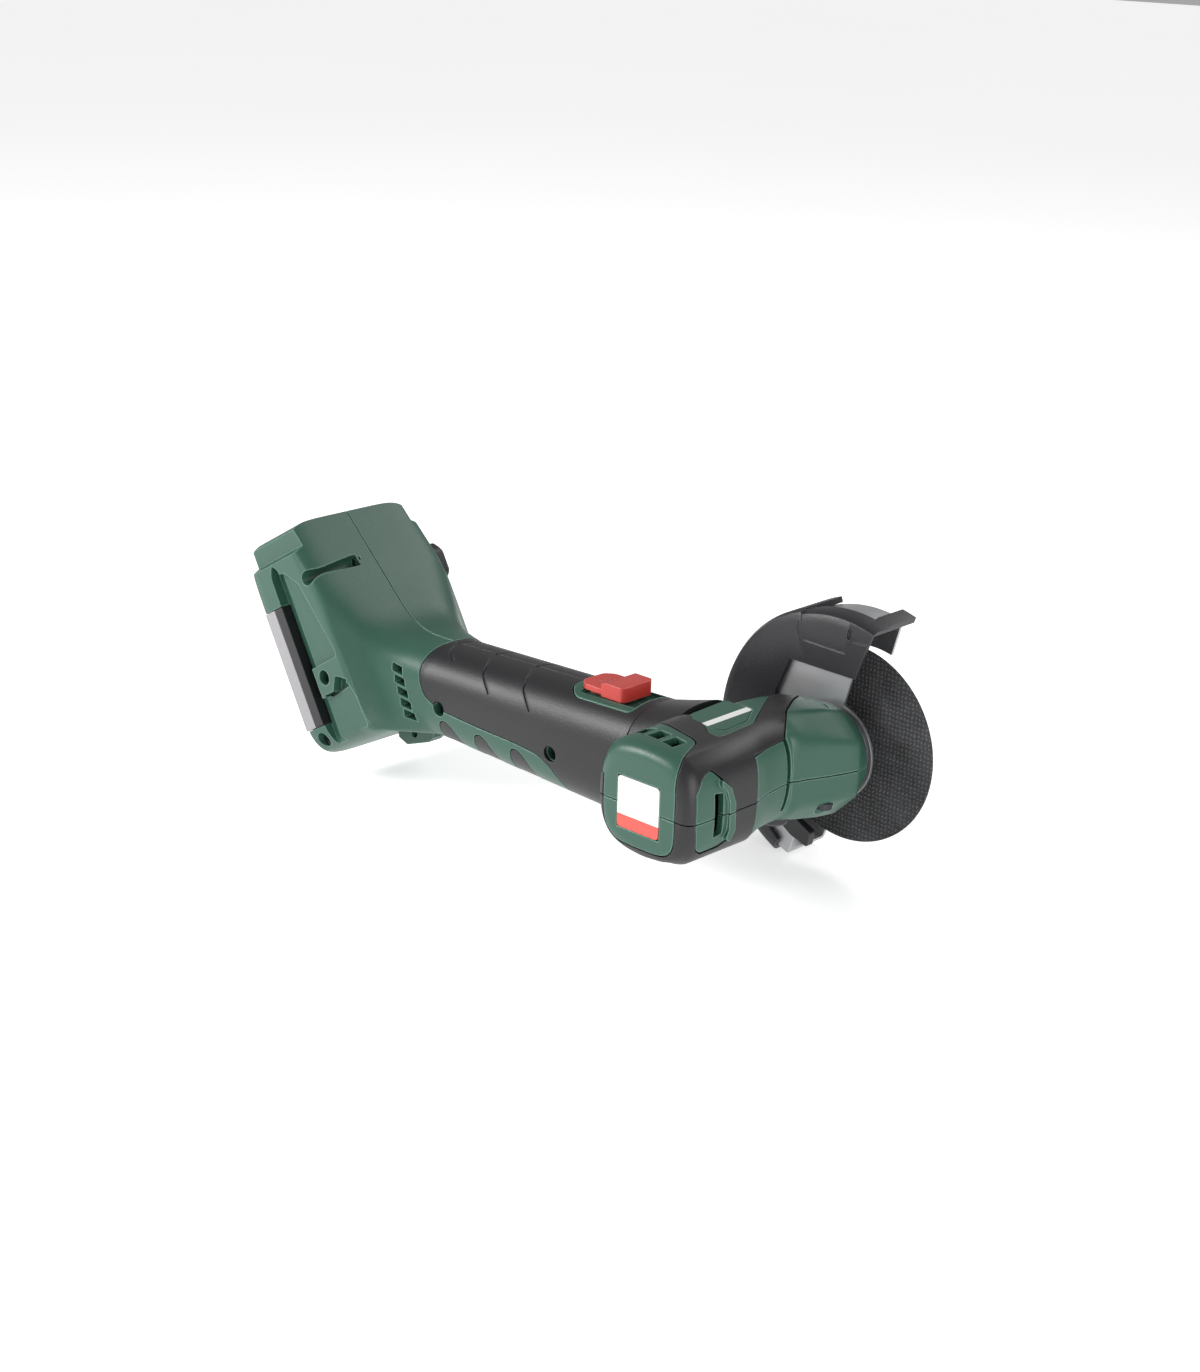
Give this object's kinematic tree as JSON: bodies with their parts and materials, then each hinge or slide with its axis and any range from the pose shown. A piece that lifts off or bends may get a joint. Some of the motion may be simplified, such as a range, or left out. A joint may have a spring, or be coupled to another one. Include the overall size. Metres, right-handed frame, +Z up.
{
  "type": "angle grinder",
  "caption": "Compact cordless angle grinder: slide switch in a soft grip, offset head, turning guard over a thin cutting disc, open battery seat.",
  "frame": {"origin": "middle of the flat land above the battery track, on the foot's slanted rear face", "axes": "+X runs forward along the grip towards the head, +Y along the spindle towards the disc, +Z up"},
  "size_m": [0.2815, 0.1167, 0.0999],
  "materials": {
    "shell_green": "satin moulded",
    "soft_black": "matte soft overmould",
    "black_steel": "dark oxide",
    "seat_grey": "satin moulded",
    "hard_black": "satin moulded",
    "charcoal": "satin moulded",
    "brass": "machined",
    "label_white": "smooth printed plate",
    "switch_red": "satin moulded",
    "board_green": "solder mask",
    "lead_black": "insulated",
    "winding_copper": "enamelled copper",
    "lamination": "stacked laminations",
    "abrasive": "bonded abrasive",
    "cast_grey": "die cast",
    "guard_steel": "pressed sheet",
    "steel": "machined"
  },
  "bodies": {
    "housing": {"handle_shell_left": "shell_green", "handle_shell_right": "shell_green", "grip_sleeve_left": "soft_black", "grip_sleeve_right": "soft_black", "grip_pads_left": "soft_black", "grip_pads_right": "soft_black", "handle_screw_1": "black_steel", "handle_screw_2": "black_steel", "handle_screw_3": "black_steel", "handle_screw_4": "black_steel", "battery_seat_plate": "seat_grey", "battery_seat_frame": "hard_black", "terminal_block": "hard_black", "contact_blade_1": "brass", "contact_blade_2": "brass", "contact_blade_3": "brass", "head_shell_upper": "shell_green", "head_shell_lower": "shell_green", "head_bumper_upper": "soft_black", "head_bumper_lower": "soft_black", "name_inlay": "shell_green", "end_label": "label_white", "head_screw_1": "black_steel", "head_screw_2": "black_steel", "head_screw_3": "black_steel", "head_screw_4": "black_steel", "switch_module": "hard_black", "detent_spring": "steel", "control_board": "board_green", "board_tray": "hard_black", "battery_lead": "lead_black", "motor_lead_loom": "lead_black", "motor_stator": "lamination", "motor_windings": "winding_copper", "motor_bearing_rear": "steel", "motor_bearing_front": "steel", "spindle_bearing_inner": "steel", "spindle_bearing_outer": "steel", "bearing_carrier": "cast_grey", "bearing_flange": "steel", "lock_spring": "steel"},
    "spindle": {"spindle": "steel", "spindle_gear": "steel", "inner_flange": "steel", "cutting_disc": "abrasive", "outer_flange": "steel", "clamp_screw": "black_steel"},
    "rotor": {"motor_rotor": "steel", "motor_shaft": "steel", "motor_pinion": "brass", "cooling_fan": "hard_black"},
    "guard": {"guard_shell": "guard_steel", "guard_cover": "hard_black", "lever_pin": "steel"},
    "latch": {"guard_lever": "hard_black"},
    "slider": {"slide_switch": "switch_red"},
    "lock": {"lock_button": "charcoal"},
    "key": {"hex_key": "steel", "hex_key_grip": "charcoal"}
  },
  "joints": [
    {"name": "spindle_spin", "type": "hinge", "parent": "housing", "child": "spindle", "pos_m": [0.2275, 0.03, -0.01005], "axis": [0, 1, 0], "continuous": true},
    {"name": "rotor_spin", "type": "hinge", "parent": "housing", "child": "rotor", "pos_m": [0.2177, -0.02, -0.00805], "axis": [0, 1, 0], "continuous": true},
    {"name": "guard_turn", "type": "hinge", "parent": "housing", "child": "guard", "pos_m": [0.2275, 0.045, -0.01005], "axis": [0, 1, 0], "range_deg": [-60, 60]},
    {"name": "guard_latch", "type": "hinge", "parent": "guard", "child": "latch", "pos_m": [0.204, 0.043, -0.03555], "axis": [0, 1, 0], "range_deg": [-6, 0], "stiffness_Nm_per_rad": 0.05},
    {"name": "switch_slide", "type": "slide", "parent": "housing", "child": "slider", "axis": [1, 0, 0], "range_m": [0, 0.006]},
    {"name": "lock_press", "type": "slide", "parent": "housing", "child": "lock", "axis": [0, 0, 1], "range_m": [0, 0.0025], "stiffness_N_per_m": 400, "deforming": ["lock_spring"]},
    {"name": "hex_key_pull", "type": "slide", "parent": "housing", "child": "key", "axis": [-0.0977, 0.9614, -0.257], "range_m": [0, 0.045]}
  ],
  "couplings": [
    {"joint": "rotor_spin", "follows": "spindle_spin", "ratio": -1.5}
  ]
}
